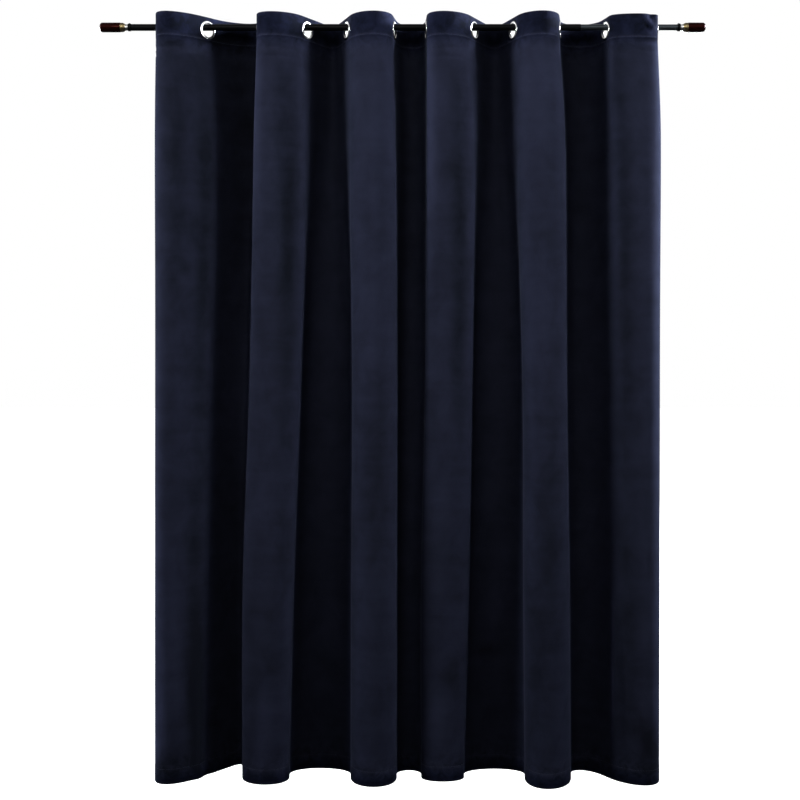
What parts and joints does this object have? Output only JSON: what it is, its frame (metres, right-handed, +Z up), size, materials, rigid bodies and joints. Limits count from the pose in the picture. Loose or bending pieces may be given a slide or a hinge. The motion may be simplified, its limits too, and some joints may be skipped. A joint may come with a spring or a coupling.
{
  "type": "velvet eyelet curtain on a rod",
  "caption": "Dark navy velvet curtain panel with metal eyelets, hanging in deep uneven folds on a black telescopic rod with brown cylindrical finials",
  "frame": {"origin": "on the axis of the rod, at the middle of its length, where its brackets hold it", "axes": "+X along the rod to the viewer's right, -Y towards the room and +Y towards the wall, +Z up"},
  "size_m": [1.955, 0.2351, 2.4526],
  "materials": {
    "velvet": "short dense pile with a soft sheen at grazing angles",
    "eyelet_metal": "polished",
    "rod_black": "satin",
    "finial_steel": "polished",
    "finial_brass": "dull polish",
    "finial_brown": "dark brown gloss lacquer"
  },
  "bodies": {
    "root": {"velvet_panel": "velvet", "eyelet_01": "eyelet_metal", "eyelet_02": "eyelet_metal", "eyelet_03": "eyelet_metal", "eyelet_04": "eyelet_metal", "eyelet_05": "eyelet_metal", "eyelet_06": "eyelet_metal", "eyelet_07": "eyelet_metal", "eyelet_08": "eyelet_metal", "eyelet_09": "eyelet_metal", "eyelet_10": "eyelet_metal", "eyelet_11": "eyelet_metal", "eyelet_12": "eyelet_metal", "rod_outer_tube": "rod_black", "rod_inner_tube": "rod_black", "rod_collar_left": "rod_black", "rod_collar_right": "rod_black", "finial_neck_left": "finial_steel", "finial_neck_right": "finial_steel", "finial_cup_left": "finial_brass", "finial_cup_right": "finial_brass", "finial_left": "finial_brown", "finial_right": "finial_brown"}
  },
  "joints": []
}
